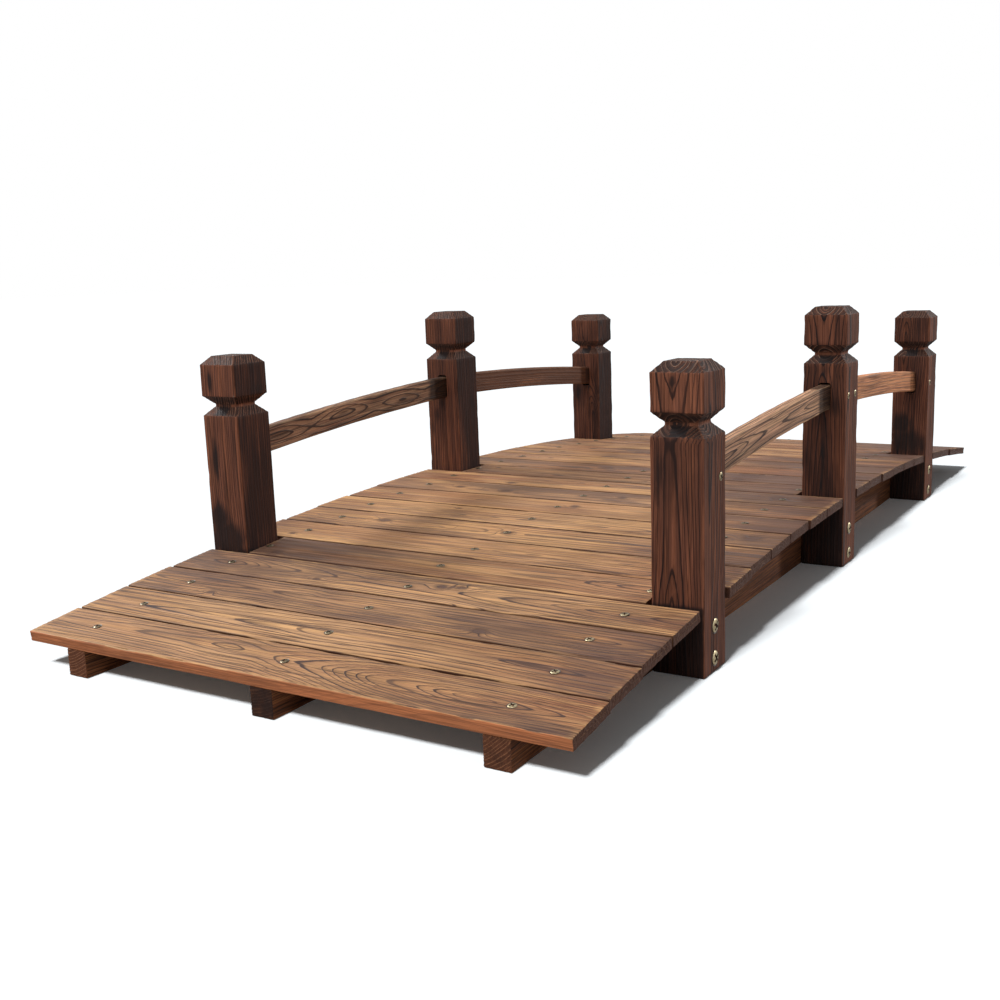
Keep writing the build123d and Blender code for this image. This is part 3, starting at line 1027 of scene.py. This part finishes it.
def make_screws(name, places, seed):
    """One mesh of screw heads. places is a list of (point, outward direction, radius, how far it stands out,
    how dull it is from 0 to 1)."""
    rng = np.random.default_rng(seed)
    base = points_of(HEAD_MESH)
    faces = [list(f.vertices) for f in HEAD_MESH.polygons]
    # painted shade lies in the cross and round the rim, where the recess and the countersink are in shadow;
    # each head's grime is added to it
    middles = np.array([base[f].mean(axis=0) for f in faces])
    reach = np.hypot(middles[:, 0], middles[:, 1])
    sunk = middles[:, 2] < np.interp(reach, (0.0, 0.4, 0.7), (0.2, 0.18, 0.12))
    dirt_and_shade = np.where(reach < 0.76, sunk, middles[:, 2] < 0.03).astype(float)
    all_points, all_faces, all_dirt_and_shade = [], [], []
    for number, (point, out, radius, stand, grime) in enumerate(places):
        turn = Vector((0, 0, 1)).rotation_difference(Vector(out)).to_matrix()
        spin = Matrix.Rotation(rng.uniform(0, 2 * math.pi), 3, "Z")
        tip = Matrix.Rotation(rng.uniform(-0.05, 0.05), 3, "X")
        m = np.array(turn @ tip @ spin)
        all_points.append(base @ m.T * radius + np.array(point) + np.array(out) * stand)
        all_faces += [[v + number * len(base) for v in f] for f in faces]
        all_dirt_and_shade.append(np.clip(dirt_and_shade + grime, 0, 1))
    mesh = new_mesh(name, np.concatenate(all_points) * MM, all_faces)
    set_attribute(mesh, "dirt_and_shade", np.concatenate(all_dirt_and_shade), "FACE")
    new_piece(name, mesh, BRASS, 35)


deck_places = []
for number in range(1, BOARD_COUNT + 1):
    out, along = on_arch(number)
    top = np.array([0, 0, ARCH_CENTRE_Z]) + out * (ARCH_RADIUS + BOARD_BEDDING + BOARD_THICK)
    for x, y in SCREW_SPOTS[number]:
        dull = 0.3 if y < -100 and number < 8 else 0.7
        deck_places.append((top + along * x + np.array([0, y, 0]), out, DECK_SCREW, -0.1, dull))
make_screws("deck_screws", deck_places, 11)

foot_places, rail_places = [], []
for side, where in POST_WOOD:
    low, high = box_mm(f"post_{side}_{where}")
    x = (low[0] + high[0]) / 2
    out, face_y = ((0, 1, 0), high[1]) if side == "left" else ((0, -1, 0), low[1])
    foot_places += [((x, face_y, z), out, FOOT_SCREW, -0.3, 0.0) for z in (14.5, 49.0)]
    rail_z = 231.0 if where == "middle" else 200.0
    rail_places += [((x + 16 * way, face_y, rail_z), out, RAIL_SCREW, -0.4, 0.3) for way in RAIL_SIDES[where]]
make_screws("foot_screws", foot_places, 12)
make_screws("rail_screws", rail_places, 13)


# ---- camera, floor and light
def camera():
    yaw, pitch, roll = (math.radians(a) for a in (31.967, -11.104, -2.061))
    forward = Vector((math.cos(pitch) * math.cos(yaw), math.cos(pitch) * math.sin(yaw), math.sin(pitch)))
    right = Vector((math.sin(yaw), -math.cos(yaw), 0))
    up = right.cross(forward)
    across = math.cos(roll) * right + math.sin(roll) * up
    upward = -math.sin(roll) * right + math.cos(roll) * up
    data = bpy.data.cameras.new("camera")
    data.lens, data.sensor_width, data.clip_end = 42.56, 36, 100
    obj = new_object("camera", data)
    obj.matrix_world = Matrix((across, upward, -forward)).transposed().to_4x4()
    obj.location = Vector((-1582.4, -763.9, 413.1)) * MM
    bpy.context.scene.camera = obj


def floor():
    corners = np.array([(-1, -1, 0), (1, -1, 0), (1, 1, 0), (-1, 1, 0)])
    mesh = new_mesh("floor", corners * 30.0, [(0, 1, 2, 3)])
    obj = new_object("floor", mesh)
    obj.location.z = -0.0003
    material = bpy.data.materials.new("floor")
    mesh.materials.append(material)
    g = Nodes(material)
    ray = g.add("ShaderNodeLightPath").outputs
    colour = g.mix(ray["Is Camera Ray"], (0.4, 0.4, 0.4, 1), (0.93, 0.975, 1.0, 1))
    glow = g.times(g.most(ray["Is Camera Ray"], ray["Is Glossy Ray"]), 0.03)
    both = g.add("ShaderNodeAddShader")
    g.put(both.inputs[0], g.add("ShaderNodeBsdfDiffuse", Color=colour).outputs[0])
    g.put(both.inputs[1], g.add("ShaderNodeEmission", Color=(1, 1, 1, 1), Strength=glow).outputs[0])
    g.finish(both)
    obj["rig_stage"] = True


def sun(name, direction, strength, angle, only):
    """A distant soft lamp that shines from a direction, on one collection only."""
    data = bpy.data.lights.new(name, "SUN")
    data.energy, data.angle = strength, math.radians(angle)
    obj = new_object(name, data)
    obj.rotation_euler = Vector(direction).to_track_quat("Z", "Y").to_euler()
    obj.light_linking.receiver_collection = only


def world():
    studio = bpy.data.worlds.new("studio")
    bpy.context.scene.world = studio
    g = Nodes(studio)
    ray = g.add("ShaderNodeLightPath").outputs
    seen = g.most(g.most(ray["Is Camera Ray"], ray["Is Glossy Ray"]), ray["Is Transmission Ray"])
    strength = g.smooth(seen, 0, 1, 0.13, 1.0)
    g.finish(g.add("ShaderNodeBackground", Color=(1, 1, 1, 1), Strength=strength), "World")


camera()
floor()
world()
bridge = bpy.data.collections.new("bridge")
ground_only = bpy.data.collections.new("ground")
for obj in bpy.context.scene.objects:
    if obj.type == "MESH":
        (ground_only if obj.get("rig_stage") else bridge).objects.link(obj)
sun("floor_light", (-0.75, -0.01, 1.0), 3.8, 9, ground_only)
sun("key", (0.03, 0.83, 0.56), 2.7, 14, bridge)
sun("overhead", (-0.5, 0.1, 1.0), 0.8, 40, bridge)
sun("front", (-1.0, 0.0, 0.5), 0.8, 40, bridge)
sun("back", (1.3, -0.84, 0.7), 1.35, 6, bridge)
bpy.context.scene.view_settings.view_transform = "Standard"
